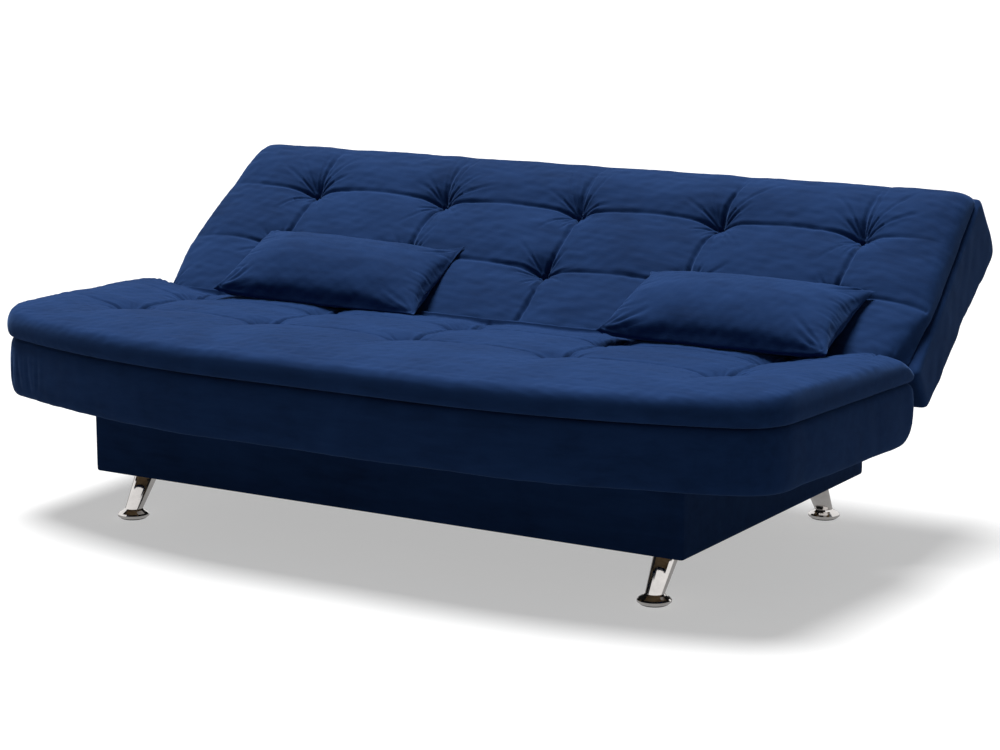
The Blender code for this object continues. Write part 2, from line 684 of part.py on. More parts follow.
def main():
    clear_scene()
    base_boards()
    base_bottom_panel()
    base_top_panel()
    base_covers()
    legs()
    seat_boards()
    seat_panels()
    seat_borders()
    seat_cushion()
    hinge = hinge_frame()
    back_boards(hinge)
    back_deck(hinge)
    back_covers(hinge)
    back_cushion(hinge)
    for side, sign in (("left", -1), ("right", 1)):
        seat_arm("seat_arm_" + side, sign)
        back_arm("back_arm_" + side, sign, hinge)
        pivot_bolt("pivot_bolt_" + side, sign)
        ratchet_pawl("ratchet_pawl_" + side, sign)
        pawl_spring("pawl_spring_" + side, sign)
    pillow("pillow_left", PILLOW_LEFT_X)
    pillow("pillow_right", PILLOW_RIGHT_X)


main()
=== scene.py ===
import math

import bmesh
import bpy
import numpy as np
from mathutils import Matrix, Vector


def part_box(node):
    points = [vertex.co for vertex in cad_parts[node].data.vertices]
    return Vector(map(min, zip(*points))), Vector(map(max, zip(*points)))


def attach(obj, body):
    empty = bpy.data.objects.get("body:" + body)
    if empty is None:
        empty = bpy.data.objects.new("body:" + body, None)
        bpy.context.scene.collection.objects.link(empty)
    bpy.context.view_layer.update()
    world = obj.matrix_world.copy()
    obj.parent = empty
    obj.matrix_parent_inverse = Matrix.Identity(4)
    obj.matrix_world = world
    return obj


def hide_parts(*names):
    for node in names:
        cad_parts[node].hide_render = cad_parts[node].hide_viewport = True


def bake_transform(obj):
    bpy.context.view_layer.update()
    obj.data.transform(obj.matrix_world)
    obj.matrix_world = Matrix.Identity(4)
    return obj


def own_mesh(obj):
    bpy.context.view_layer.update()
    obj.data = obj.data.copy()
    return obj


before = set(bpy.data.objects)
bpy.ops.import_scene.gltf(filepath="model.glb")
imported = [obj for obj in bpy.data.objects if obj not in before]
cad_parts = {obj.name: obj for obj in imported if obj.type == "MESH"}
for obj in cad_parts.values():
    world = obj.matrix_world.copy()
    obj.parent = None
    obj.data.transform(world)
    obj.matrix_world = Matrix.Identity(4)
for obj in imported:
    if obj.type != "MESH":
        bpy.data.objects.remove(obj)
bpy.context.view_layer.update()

# ---- sizes, in metres, in the frame of the CAD -----------------------------------------
SEAT_FRONT = -0.5935
FLAT_HALF = 0.220
BOW_RADIUS = 1.840
BOW_TURN = math.radians(19.85)
CORNER_RADIUS = 0.105
SIDE_TAPER = math.radians(4.0)
SEAT_REAR = 0.0915
BAND_LOW = 0.2549
BAND_TOP = 0.3812
BAND_ROUND = 0.026
HINGE = Vector((0.0, 0.1415, 0.320))
BACK_ANGLE = math.radians(38.26)
BACK_HALF = 0.938
BACK_TAPER = 0.054
BASE_HALF = 0.703
BASE_FRONT = -0.4105
BASE_REAR = 0.4145
BASE_LOW = 0.100
BASE_TOP = 0.2545
DECK_COVER = 0.0626
PILLOW_SIZE = (0.512, 0.262, 0.118)
PILLOW_LOW = 0.424
PILLOW_REAR = 0.131

SEAT_COLUMNS = (-0.708, -0.354, 0.0, 0.354, 0.708)
SEAT_ROWS = (-0.2697, -0.0585)
BACK_COLUMNS = (-0.657, -0.305, 0.045, 0.391, 0.717)
BACK_ROWS = (0.340, 0.160)


# ---- mesh helpers ----------------------------------------------------------------------
def add(name, verts, faces):
    mesh = bpy.data.meshes.new(name)
    mesh.from_pydata([tuple(v) for v in verts], [], faces)
    mesh.update()
    obj = bpy.data.objects.new(name, mesh)
    bpy.context.scene.collection.objects.link(obj)
    turn_outward(obj)
    return obj


def turn_outward(obj):
    """Make every face of a closed mesh look outward."""
    bm = bmesh.new()
    bm.from_mesh(obj.data)
    bmesh.ops.recalc_face_normals(bm, faces=bm.faces)
    if bm.calc_volume(signed=True) < 0:
        bmesh.ops.reverse_faces(bm, faces=bm.faces)
    bm.to_mesh(obj.data)
    bm.free()


def loft(name, rings, around=False):
    """Skin equal rings; closed on itself when around is true, else capped at both ends."""
    count = len(rings[0])
    verts = [p for ring in rings for p in ring]
    faces = []
    last = len(rings) if around else len(rings) - 1
    for r in range(last):
        a = r * count
        b = ((r + 1) % len(rings)) * count
        for i in range(count):
            j = (i + 1) % count
            faces.append((a + i, a + j, b + j, b + i))
    if not around:
        faces.append(tuple(range(count))[::-1])
        faces.append(tuple(range((len(rings) - 1) * count, len(rings) * count)))
    return add(name, verts, faces)


def bake(obj):
    """Apply the modifiers of obj."""
    graph = bpy.context.evaluated_depsgraph_get()
    mesh = bpy.data.meshes.new_from_object(obj.evaluated_get(graph), depsgraph=graph)
    obj.modifiers.clear()
    obj.data = mesh
    mesh.name = obj.name


def remesh(obj, voxel):
    mod = obj.modifiers.new("voxels", "REMESH")
    mod.mode = "VOXEL"
    mod.voxel_size = voxel
    bake(obj)


def relax(obj, times, factor=0.5):
    mod = obj.modifiers.new("relax", "SMOOTH")
    mod.iterations = times
    mod.factor = factor
    bake(obj)


def subdivide(obj, levels=1):
    mod = obj.modifiers.new("finer", "SUBSURF")
    mod.levels = levels
    mod.render_levels = levels
    bake(obj)


def points(obj):
    co = np.empty(len(obj.data.vertices) * 3)
    obj.data.vertices.foreach_get("co", co)
    return co.reshape(-1, 3)


def normals(obj):
    out = np.empty(len(obj.data.vertices) * 3, np.float32)
    obj.data.vertex_normals.foreach_get("vector", out)
    return out.reshape(-1, 3).astype(float)


def put(obj, co):
    obj.data.vertices.foreach_set("co", np.ascontiguousarray(co, float).ravel())
    obj.data.update()


def smooth_step(x, low, high):
    t = np.clip((x - low) / (high - low), 0.0, 1.0)
    return t * t * (3 - 2 * t)


def wander(uv, scale, seed):
    """A smooth random field of about -1..1 over the plane, from a few waves."""
    rng = np.random.default_rng(seed)
    out = np.zeros(len(uv))
    for _ in range(9):
        angle = rng.uniform(0, 2 * math.pi)
        rate = 2 * math.pi / scale * rng.uniform(0.5, 1.7)
        phase = rng.uniform(0, 2 * math.pi)
        out += np.sin(rate * (uv[:, 0] * math.cos(angle) + uv[:, 1] * math.sin(angle)) + phase)
    return out / 4.0


def ripple(co, scale, seed):
    """A smooth random field of about -1..1 in space."""
    rng = np.random.default_rng(seed)
    out = np.zeros(len(co))
    for _ in range(10):
        way = rng.normal(size=3)
        way /= np.linalg.norm(way)
        rate = 2 * math.pi / scale * rng.uniform(0.5, 1.7)
        out += np.sin(rate * (co @ way) + rng.uniform(0, 2 * math.pi))
    return out / 4.5


def crumple(obj, amounts):
    """Push the points of obj in and out by slow random fields: (height, scale, seed) each."""
    co = points(obj)
    nor = normals(obj)
    push = np.zeros(len(co))
    for height, scale, seed in amounts:
        push += height * ripple(co, scale, seed)
    put(obj, co + nor * push[:, None])


# ---- folds and tufts -------------------------------------------------------------------
def fold(uv, path, width, depth, ridge=0.28):
    """Rise and fall of a fold along a path: a sharp valley with a low ridge on each side."""
    path = np.asarray(path, float)
    width = np.broadcast_to(np.asarray(width, float), len(path))
    depth = np.broadcast_to(np.asarray(depth, float), len(path))
    reach = 2.4 * width.max()
    near = np.nonzero(((uv > path.min(0) - reach) & (uv < path.max(0) + reach)).all(1))[0]
    p = uv[near]
    best = np.full(len(near), 1e9)
    w = np.ones(len(near))
    d = np.zeros(len(near))
    for i in range(len(path) - 1):
        a, run = path[i], path[i + 1] - path[i]
        t = np.clip(((p - a) @ run) / max(run @ run, 1e-12), 0, 1)
        dist = np.linalg.norm(p - (a + t[:, None] * run), axis=1)
        hit = dist < best
        best[hit] = dist[hit]
        w[hit] = (width[i] + (width[i + 1] - width[i]) * t)[hit]
        d[hit] = (depth[i] + (depth[i + 1] - depth[i]) * t)[hit]
    q = best / w
    rise = -d * np.clip(1 - q, 0, 1) ** 1.5 + ridge * d * np.exp(-((q - 1.3) / 0.5) ** 2)
    return near, rise


def curve(a, b, bend, steps=10):
    """Points from a to b on a shallow arc that stands bend to the left of the straight line."""
    a, b = np.array(a, float), np.array(b, float)
    run = b - a
    side = np.array([-run[1], run[0]]) / max(np.linalg.norm(run), 1e-9)
    t = np.linspace(0, 1, steps + 1)
    return a + t[:, None] * run + (bend * 4 * t * (1 - t))[:, None] * side


def fan(uv, out, centre, rng, angles, reach, depth, width=(0.0028, 0.008)):
    """Pleats that run out from a tuft at the given angles."""
    for angle in angles:
        long = rng.uniform(*reach)
        turn = rng.uniform(-0.25, 0.25)
        t = np.linspace(0, 1, 9)
        r = 0.006 + t * long
        a = angle + turn * t
        path = np.stack([centre[0] + r * np.cos(a), centre[1] + r * np.sin(a)], 1)
        tall = rng.uniform(0.55, 1.0) * depth * np.sin(math.pi * (0.12 + 0.88 * t) ** 0.75)
        wide = width[0] + (width[1] - width[0]) * t
        near, rise = fold(uv, path, wide, tall)
        out[near] += rise


def spread_angles(rng, count, low, high):
    step = (high - low) / count
    return [low + step * (i + rng.uniform(0.15, 0.85)) for i in range(count)]


def dimple(uv, centre, depth, radius):
    """Hollow round a tuft."""
    r = np.linalg.norm(uv - np.array(centre), axis=1)
    return -depth * np.exp(-(r / radius) ** 1.15)


# ---- cloth -----------------------------------------------------------------------------
def inflate(obj, pressure, cap, held, frames=20, stiff=15.0):
    """Blow obj up as a closed cloth; held points stay, and none goes further than cap."""
    group = obj.vertex_groups.new(name="pins")
    group.add([int(i) for i in np.nonzero(held)[0]], 1.0, "REPLACE")
    rest = points(obj)
    mod = obj.modifiers.new("cloth", "CLOTH")
    s = mod.settings
    s.quality = 5
    s.mass = 0.3
    s.tension_stiffness = stiff
    s.compression_stiffness = stiff
    s.shear_stiffness = 5
    s.bending_stiffness = 0.2
    s.use_pressure = True
    s.uniform_pressure_force = pressure
    s.vertex_group_mass = "pins"
    s.effector_weights.gravity = 0
    mod.point_cache.frame_start = 1
    mod.point_cache.frame_end = frames
    scene = bpy.context.scene
    for f in range(1, frames + 1):
        scene.frame_set(f)
    graph = bpy.context.evaluated_depsgraph_get()
    moved = np.empty(len(rest) * 3)
    obj.evaluated_get(graph).data.vertices.foreach_get("co", moved)
    moved = moved.reshape(-1, 3)
    obj.modifiers.remove(mod)
    obj.vertex_groups.clear()
    scene.frame_set(1)
    step = moved - rest
    length = np.linalg.norm(step, axis=1, keepdims=True)
    put(obj, rest + step * np.where(length > 1e-9, cap * np.tanh(length / cap)
                                    / np.maximum(length, 1e-9), 1.0))


# ---- materials -------------------------------------------------------------------------
def shader(name):
    mat = bpy.data.materials.new(name)
    mat.use_nodes = True
    nodes = mat.node_tree.nodes
    return mat, nodes, mat.node_tree.links, nodes["Principled BSDF"]


def coordinates(nodes, links, scale=(1, 1, 1)):
    tc = nodes.new("ShaderNodeTexCoord")
    mp = nodes.new("ShaderNodeMapping")
    mp.inputs["Scale"].default_value = scale
    links.new(tc.outputs["Object"], mp.inputs["Vector"])
    return mp.outputs["Vector"]


def noise(nodes, links, vector, scale, detail=3.0, rough=0.55, distortion=0.0):
    n = nodes.new("ShaderNodeTexNoise")
    n.inputs["Scale"].default_value = scale
    n.inputs["Detail"].default_value = detail
    n.inputs["Roughness"].default_value = rough
    n.inputs["Distortion"].default_value = distortion
    links.new(vector, n.inputs["Vector"])
    return n.outputs["Fac"]


def ramp(nodes, links, fac, stops):
    r = nodes.new("ShaderNodeValToRGB")
    r.color_ramp.elements[0].position = stops[0][0]
    r.color_ramp.elements[0].color = (*stops[0][1], 1)
    r.color_ramp.elements[1].position = stops[-1][0]
    r.color_ramp.elements[1].color = (*stops[-1][1], 1)
    for pos, col in stops[1:-1]:
        e = r.color_ramp.elements.new(pos)
        e.color = (*col, 1)
    links.new(fac, r.inputs["Fac"])
    return r.outputs["Color"]


def spread(nodes, links, fac, low, high):
    m = nodes.new("ShaderNodeMapRange")
    m.inputs["To Min"].default_value = low
    m.inputs["To Max"].default_value = high
    links.new(fac, m.inputs["Value"])
    return m.outputs["Result"]


def bump(nodes, links, height, strength, distance, before=None):
    b = nodes.new("ShaderNodeBump")
    b.inputs["Strength"].default_value = strength
    b.inputs["Distance"].default_value = distance
    links.new(height, b.inputs["Height"])
    if before is not None:
        links.new(before, b.inputs["Normal"])
    return b.outputs["Normal"]


def velvet_material(name, deep, mid, light):
    """Short brushed pile: cloudy nap, faint brushing, fine grain and a soft sheen."""
    mat, nodes, links, bsdf = shader(name)
    flat = coordinates(nodes, links)
    brushed = coordinates(nodes, links, (1.0, 5.0, 5.0))
    cloud = noise(nodes, links, flat, 5.0, 4.0, 0.55, 0.6)
    streak = noise(nodes, links, brushed, 9.0, 3.0, 0.6, 0.3)
    both = nodes.new("ShaderNodeMath")
    both.operation = "MULTIPLY_ADD"
    links.new(streak, both.inputs[0])
    both.inputs[1].default_value = 0.45
    half = nodes.new("ShaderNodeMath")
    half.operation = "MULTIPLY"
    half.inputs[1].default_value = 0.55
    links.new(cloud, half.inputs[0])
    links.new(half.outputs[0], both.inputs[2])
    links.new(ramp(nodes, links, both.outputs[0],
                   ((0.30, deep), (0.50, mid), (0.72, light))), bsdf.inputs["Base Color"])
    pile = noise(nodes, links, flat, 700.0, 2.0, 0.6)
    lay = noise(nodes, links, brushed, 60.0, 3.0, 0.6)
    links.new(spread(nodes, links, lay, 0.74, 0.92), bsdf.inputs["Roughness"])
    soft = bump(nodes, links, lay, 0.20, 0.0012)
    links.new(bump(nodes, links, pile, 0.35, 0.0006, soft), bsdf.inputs["Normal"])
    bsdf.inputs["Specular IOR Level"].default_value = 0.05
    bsdf.inputs["Sheen Weight"].default_value = 0.60
    bsdf.inputs["Sheen Roughness"].default_value = 0.38
    bsdf.inputs["Sheen Tint"].default_value = (0.12, 0.22, 0.46, 1.0)
    return mat


def pine_material():
    mat, nodes, links, bsdf = shader("pine_boards")
    along = coordinates(nodes, links, (1.2, 14.0, 14.0))
    grain = noise(nodes, links, along, 6.0, 5.0, 0.6, 1.6)
    fibre = noise(nodes, links, along, 60.0, 3.0, 0.6)
    links.new(ramp(nodes, links, grain, ((0.30, (0.38, 0.22, 0.10)), (0.50, (0.60, 0.41, 0.22)),
                                         (0.70, (0.70, 0.53, 0.32)))), bsdf.inputs["Base Color"])
    links.new(spread(nodes, links, fibre, 0.55, 0.80), bsdf.inputs["Roughness"])
    links.new(bump(nodes, links, fibre, 0.30, 0.0006), bsdf.inputs["Normal"])
    return mat


def hardboard_material():
    mat, nodes, links, bsdf = shader("pressed_board")
    flat = coordinates(nodes, links)
    chips = noise(nodes, links, flat, 160.0, 4.0, 0.7)
    links.new(ramp(nodes, links, chips, ((0.35, (0.15, 0.085, 0.045)), (0.60, (0.30, 0.19, 0.10)),
                                         (0.75, (0.42, 0.29, 0.17)))), bsdf.inputs["Base Color"])
    links.new(spread(nodes, links, chips, 0.60, 0.85), bsdf.inputs["Roughness"])
    links.new(bump(nodes, links, chips, 0.25, 0.0005), bsdf.inputs["Normal"])
    return mat


def lining_material():
    mat, nodes, links, bsdf = shader("spun_lining")
    flat = coordinates(nodes, links)
    dots = nodes.new("ShaderNodeTexVoronoi")
    dots.inputs["Scale"].default_value = 420.0
    links.new(flat, dots.inputs["Vector"])
    fibres = noise(nodes, links, flat, 240.0, 4.0, 0.7)
    links.new(ramp(nodes, links, fibres, ((0.30, (0.006, 0.006, 0.007)),
                                          (0.70, (0.022, 0.022, 0.025)))),
              bsdf.inputs["Base Color"])
    links.new(spread(nodes, links, fibres, 0.80, 0.97), bsdf.inputs["Roughness"])
    links.new(bump(nodes, links, dots.outputs["Distance"], 0.30, 0.0004), bsdf.inputs["Normal"])
    return mat


def metal_material(name, color, low, high, scale, lift=0.0):
    mat, nodes, links, bsdf = shader(name)
    at = coordinates(nodes, links)
    marks = noise(nodes, links, at, scale, 4.0, 0.6)
    dull = tuple(c * 0.82 for c in color)
    links.new(ramp(nodes, links, marks, ((0.30, dull), (0.65, color))), bsdf.inputs["Base Color"])
    links.new(spread(nodes, links, marks, low, high), bsdf.inputs["Roughness"])
    bsdf.inputs["Metallic"].default_value = 1.0
    if lift:
        links.new(bump(nodes, links, marks, lift, 0.0003), bsdf.inputs["Normal"])
    return mat


def plastic_material():
    mat, nodes, links, bsdf = shader("moulded_plastic")
    flat = coordinates(nodes, links)
    grain = noise(nodes, links, flat, 500.0, 3.0, 0.6)
    links.new(ramp(nodes, links, grain, ((0.30, (0.012, 0.012, 0.013)),
                                         (0.70, (0.026, 0.026, 0.028)))),
              bsdf.inputs["Base Color"])
    links.new(spread(nodes, links, grain, 0.38, 0.55), bsdf.inputs["Roughness"])
    links.new(bump(nodes, links, grain, 0.25, 0.0003), bsdf.inputs["Normal"])
    return mat


NAVY = velvet_material("navy_pile", (0.0068, 0.0225, 0.076), (0.0098, 0.0320, 0.106),
                       (0.0135, 0.0415, 0.134))
FINISHES = {
    "navy_velvet": NAVY,
    "pine": pine_material(),
    "hardboard": hardboard_material(),
    "black_lining": lining_material(),
    "chrome": metal_material("polished_chrome", (0.74, 0.71, 0.69), 0.04, 0.12, 30.0),
    "black_plastic": plastic_material(),
    "zinc_steel": metal_material("zinc_plate", (0.50, 0.51, 0.53), 0.28, 0.45, 90.0, 0.15),
}


def dress(obj, slot_name):
    obj.data.materials.clear()
    obj.data.materials.append(FINISHES[slot_name])
    obj.data.shade_smooth()
    return obj


def raise_back(obj):
    """Lift a mesh from the back's flat frame to its place at rest."""
    co = points(obj)
    c, k = math.cos(BACK_ANGLE), math.sin(BACK_ANGLE)
    s, n = co[:, 1].copy(), co[:, 2].copy()
    co[:, 1] = HINGE.y + s * c - n * k
    co[:, 2] = HINGE.z + s * k + n * c
    put(obj, co)


# ---- plan of the seat ------------------------------------------------------------------
def corner_centre():
    """Centre of the arc that joins the bowed front to the right side."""
    bow_x = FLAT_HALF + BOW_RADIUS * math.sin(BOW_TURN)
    bow_y = SEAT_FRONT + BOW_RADIUS * (1 - math.cos(BOW_TURN))
    return (bow_x - CORNER_RADIUS * math.sin(BOW_TURN),
            bow_y + CORNER_RADIUS * math.cos(BOW_TURN))


def seat_side_x(y, offset=0.0):
    tx, ty = corner_centre()
    r = CORNER_RADIUS + offset
    x0 = tx + r * math.cos(-SIDE_TAPER)
    y0 = ty + r * math.sin(-SIDE_TAPER)
    return x0 + (y - y0) * math.tan(SIDE_TAPER)


def seat_half(offset, rear, corner, front_steps=8):
    """Right half of an outline of the seat, from the middle of the front to the rear."""
    out = [(FLAT_HALF * i / front_steps, SEAT_FRONT - offset) for i in range(front_steps)]
    cy = SEAT_FRONT + BOW_RADIUS
    for i in range(25):
        a = -math.pi / 2 + BOW_TURN * i / 24
        out.append((FLAT_HALF + (BOW_RADIUS + offset) * math.cos(a),
                    cy + (BOW_RADIUS + offset) * math.sin(a)))
    tx, ty = corner_centre()
    a0, a1 = -math.pi / 2 + BOW_TURN, -SIDE_TAPER
    r = max(CORNER_RADIUS + offset, 0.006)
    for i in range(1, 11):
        a = a0 + (a1 - a0) * i / 10
        out.append((tx + r * math.cos(a), ty + r * math.sin(a)))
    y0 = out[-1][1]
    y1 = rear - corner
    for i in range(1, 19):
        y = y0 + (y1 - y0) * i / 18
        out.append((seat_side_x(y, offset), y))
    if corner > 0:
        x1 = out[-1][0]
        for i in range(1, 7):
            a = math.pi / 2 * i / 6
            out.append((x1 - corner * (1 - math.cos(a)), y1 + corner * math.sin(a)))
    return out


def whole(half):
    """Close a right half with its mirror image."""
    return half + [(-x, y) for x, y in reversed(half) if x > 1e-9]


# ---- seat pad --------------------------------------------------------------------------
def seat_pad():
    """The pad as (height, offset from the plan) layers, then tufted."""
    layers = ((0.3804, -0.006), (0.3815, 0.001), (0.386, 0.0065), (0.395, 0.0090),
              (0.406, 0.0094), (0.417, 0.0086), (0.426, 0.0058), (0.433, 0.0002),
              (0.4378, -0.0090), (0.4402, -0.022), (0.4416, -0.040), (0.4425, -0.060))
    rings = []
    for z, offset in layers:
        middle_rear = 0.049 + min(offset, 0.003)
        side_rear = 0.098 - 1.05 * max(z - 0.383, 0.0)
        half = seat_half(offset, side_rear, 0.018)
        x_rear = half[-1][0]
        for i in range(1, 32):
            x = x_rear * (1 - i / 32)
            t = float(smooth_step(np.array(x), 0.80, 0.885))
            half.append((x, middle_rear + (side_rear - middle_rear) * t))
        rings.append([(x, y, z) for x, y in whole(half)])
    pad = loft("seat_pad", rings)
    remesh(pad, 0.008)
    relax(pad, 2)
    shape_seat(pad)
    return pad


def seat_lines(wobble):
    """Channels in the plan of the seat: path, how many ends are tufts, share of the depth."""
    rows = SEAT_ROWS
    lines = []
    for k, x in enumerate(SEAT_COLUMNS):
        lines.append((curve((x, rows[0]), (x, rows[1]), wobble[k]), 2, 2.2))
        lines.append((curve((x, rows[1]), (x * 1.012, 0.040), -wobble[(k + 1) % 5]), 1, 2.2))
        lines.append((curve((x, rows[0]), (x * 0.995, -0.420), wobble[(k + 2) % 5]), 0, 1.0))
    for r, y in enumerate(rows):
        for k in range(len(SEAT_COLUMNS) - 1):
            lines.append((curve((SEAT_COLUMNS[k], y), (SEAT_COLUMNS[k + 1], y),
                                wobble[(k + r) % 5]), 2, 1.0))
        lines.append((curve((SEAT_COLUMNS[0], y), (-0.885, y), wobble[r]), 0, 1.0))
        lines.append((curve((SEAT_COLUMNS[-1], y), (0.885, y), wobble[r + 1]), 0, 1.0))
    return lines


def creases(uv, lines, crease):
    """Sharp folds along the channels, deepest where they run into a tuft."""
    out = np.zeros(len(uv))
    for path, ends, factor in lines:
        t = np.linspace(0, 1, len(path))
        if ends == 2:
            strength = 0.35 + 0.65 * np.abs(2 * t - 1) ** 1.5
        elif ends == 1:
            strength = 0.40 + 0.60 * (1 - t) ** 1.5
        else:
            strength = (1 - t) ** 1.4
        near, rise = fold(uv, path, crease[0] + crease[0] * 0.8 * (1 - strength),
                          crease[1] * strength * factor, ridge=0.14)
        out[near] += rise
        near, rise = fold(uv, path, 0.052, crease[2] * (0.5 + 0.5 * strength), ridge=0.06)
        out[near] += rise
    return out


def broad_shape(uv, lines, tufts, broad, pit):
    """Height of a tufted surface before its creases: broad dips and dimples."""
    width, deep = broad
    dip = np.zeros(len(uv))
    for path, ends, _ in lines:
        t = np.linspace(0, 1, len(path))
        fade = (1 - t) ** 1.2 if ends == 0 else np.ones(len(path))
        near, rise = fold(uv, path, width, deep * fade + 1e-6, ridge=0.0)
        soft = np.zeros(len(uv))
        soft[near] = -rise
        dip = (dip ** 3 + soft ** 3) ** (1 / 3)
    out = -dip
    for tuft in tufts:
        out += dimple(uv, tuft, *pit)
    return out


def refine(obj, lines, spots, reach, radius):
    """Halve the mesh spacing along the channels and round the tufts, where folds are sharp."""
    co, up = points(obj), normals(obj)[:, 2]
    uv = co[:, :2]
    hot = near_tufts(uv, spots, radius)
    for path, _, _ in lines:
        near, rise = fold(uv, path, reach, 1.0, ridge=0.0)
        hot[near[rise < -0.02]] = True
    hot &= up > 0.25
    bm = bmesh.new()
    bm.from_mesh(obj.data)
    bm.verts.ensure_lookup_table()
    edges = [e for e in bm.edges if hot[e.verts[0].index] and hot[e.verts[1].index]]
    bmesh.ops.subdivide_edges(bm, edges=edges, cuts=1, use_grid_fill=True)
    bm.to_mesh(obj.data)
    bm.free()
    obj.data.update()


def near_tufts(uv, tufts, radius):
    """Which points lie within radius of a tuft."""
    held = np.zeros(len(uv), bool)
    for tuft in tufts:
        held |= np.linalg.norm(uv - np.array(tuft), axis=1) < radius
    return held


def shape_seat(pad):
    """Tuft, inflate and crease the seat pad."""
    rng = np.random.default_rng(11)
    tufts = [(x, y) for y in SEAT_ROWS for x in SEAT_COLUMNS]
    wobble = (0.004, -0.005, 0.003, 0.006, -0.003)
    lines = seat_lines(wobble)
    co = points(pad)
    nor = normals(pad)
    uv = co[:, :2].copy()
    top = smooth_step(nor[:, 2], 0.25, 0.85) * smooth_step(co[:, 2], 0.400, 0.428)
    side = smooth_step(np.abs(uv[:, 0]), 0.76, 0.875)
    rise = 0.017 * side * smooth_step(uv[:, 1], -0.48, -0.24)
    crown = 0.005 * (1 - smooth_step(np.abs(uv[:, 1] + 0.41), 0.0, 0.13))
    slope = -0.015 * smooth_step(uv[:, 1], -0.45, -0.10)
    slope -= 0.006 * smooth_step(uv[:, 1], -0.09, 0.045)
    height = broad_shape(uv, lines, tufts, (0.080, 0.0038), (0.006, 0.034))
    co[:, 2] += (height + rise + crown + slope) * top
    put(pad, co)
    held = (nor[:, 2] < 0.93) & (co[:, 2] < 0.4435) & ~near_tufts(uv, tufts, 0.090)
    held |= near_tufts(uv, tufts, 0.013) | (co[:, 2] < 0.394)
    inflate(pad, 4.0, 0.008, held)
    subdivide(pad)
    refine(pad, lines, tufts + [(-0.885, 0.060), (0.885, 0.060)], 0.013, 0.055)
    co = points(pad)
    nor = normals(pad)
    uv = co[:, :2].copy()
    top = smooth_step(nor[:, 2], 0.25, 0.85) * smooth_step(co[:, 2], 0.398, 0.412)
    height = creases(uv, lines, (0.0060, 0.0072, 0.0048))
    for tuft in tufts:
        height += dimple(uv, tuft, 0.010, 0.022)
        fan(uv, height, tuft, rng, spread_angles(rng, 12, 0, 2 * math.pi),
            (0.035, 0.120), 0.0036, (0.0024, 0.0065))
    for sign in (-1, 1):
        corner = (sign * 0.885, 0.060)
        base = math.pi if sign > 0 else 0.0
        fan(uv, height, corner, rng, spread_angles(rng, 6, base + 0.15 * sign * math.pi,
                                                   base + 0.62 * sign * math.pi),
            (0.050, 0.110), 0.0028, (0.0040, 0.0080))
    height += 0.0009 * wander(uv, 0.13, 3) + 0.0005 * wander(uv, 0.04, 4)
    height += 0.0005 * wander(uv * (0.40, 1.60), 0.035, 5)
    co[:, 2] += height * top
    put(pad, co)
    relax(pad, 1, 0.15)


# ---- back pad --------------------------------------------------------------------------
def back_half_width(s):
    return BACK_HALF - BACK_TAPER * s


def back_pad():
    """The pad in the flat frame of the back: x across, y up the back, z out of its face."""
    section = ((0.046, 0.0612), (0.250, 0.0610), (0.490, 0.0612), (0.505, 0.0625),
               (0.5110, 0.068), (0.5125, 0.076), (0.5085, 0.088), (0.499, 0.1005),
               (0.485, 0.1105), (0.466, 0.1185), (0.444, 0.1235), (0.415, 0.126),
               (0.300, 0.126),
               (0.150, 0.126), (0.020, 0.1265), (-0.004, 0.1255), (-0.018, 0.120),
               (-0.0245, 0.109), (-0.023, 0.099), (-0.014, 0.0915), (0.010, 0.080))
    insets = [0.056 * (1 - math.cos(math.pi / 2 * i / 10)) for i in range(11)]

    def ring(sign, inset):
        face = 0.052 * (1 - math.sqrt(max(1 - (1 - inset / 0.056) ** 2, 0.0)))
        rear = 0.005 * max(1 - inset / 0.006, 0.0)
        out = []
        for s, n in section:
            low = 0.050 * (1 - float(smooth_step(np.array(s), -0.02, 0.075)))
            x = back_half_width(max(s, 0.0)) - 0.005 - low - inset
            height = (n - 0.061) / 0.066
            s2 = s + (0.30 - s) * 0.10 * (face / 0.052) ** 1.5 * height
            out.append((sign * x, s2, n - face * height + rear * (1 - height)))
        return out

    rings = [ring(-1, inset) for inset in insets]
    right = [ring(1, inset) for inset in reversed(insets)]
    last = rings[-1]
    for i in range(1, 24):
        t = i / 24
        rings.append([(a[0] + (b[0] - a[0]) * t, a[1], a[2]) for a, b in zip(last, right[0])])
    rings += right
    pad = loft("back_pad", rings)
    remesh(pad, 0.008)
    relax(pad, 3)
    shape_back(pad)
    raise_back(pad)
    return pad


def back_lines(wobble):
    """Channels of the back, as in seat_lines, in its flat frame."""
    cols, rows = BACK_COLUMNS, BACK_ROWS
    lines = []
    for k, x in enumerate(cols):
        low = x * 1.02
        lines.append((curve((x, rows[0]), (x - 0.006, rows[1]), 1.8 * wobble[k]), 2, 1.9))
        lines.append((curve((x - 0.006, rows[1]), (low, -0.010), -1.8 * wobble[(k + 1) % 5]),
                      1, 1.9))
        lines.append((curve((x, rows[0]), (x + 0.006, 0.500), wobble[(k + 3) % 5]), 0, 1.3))
    for r, s in enumerate(rows):
        shift = -0.006 * r
        for k in range(len(cols) - 1):
            lines.append((curve((cols[k] + shift, s), (cols[k + 1] + shift, s),
                                0.004 + 0.4 * wobble[(k + r) % 5]), 2, 1.0))
        lines.append((curve((cols[0] + shift, s), (-0.900, s + 0.012), wobble[r]), 0, 1.0))
        lines.append((curve((cols[-1] + shift, s), (0.915, s + 0.004), -wobble[r]), r, 0.8))
    return lines


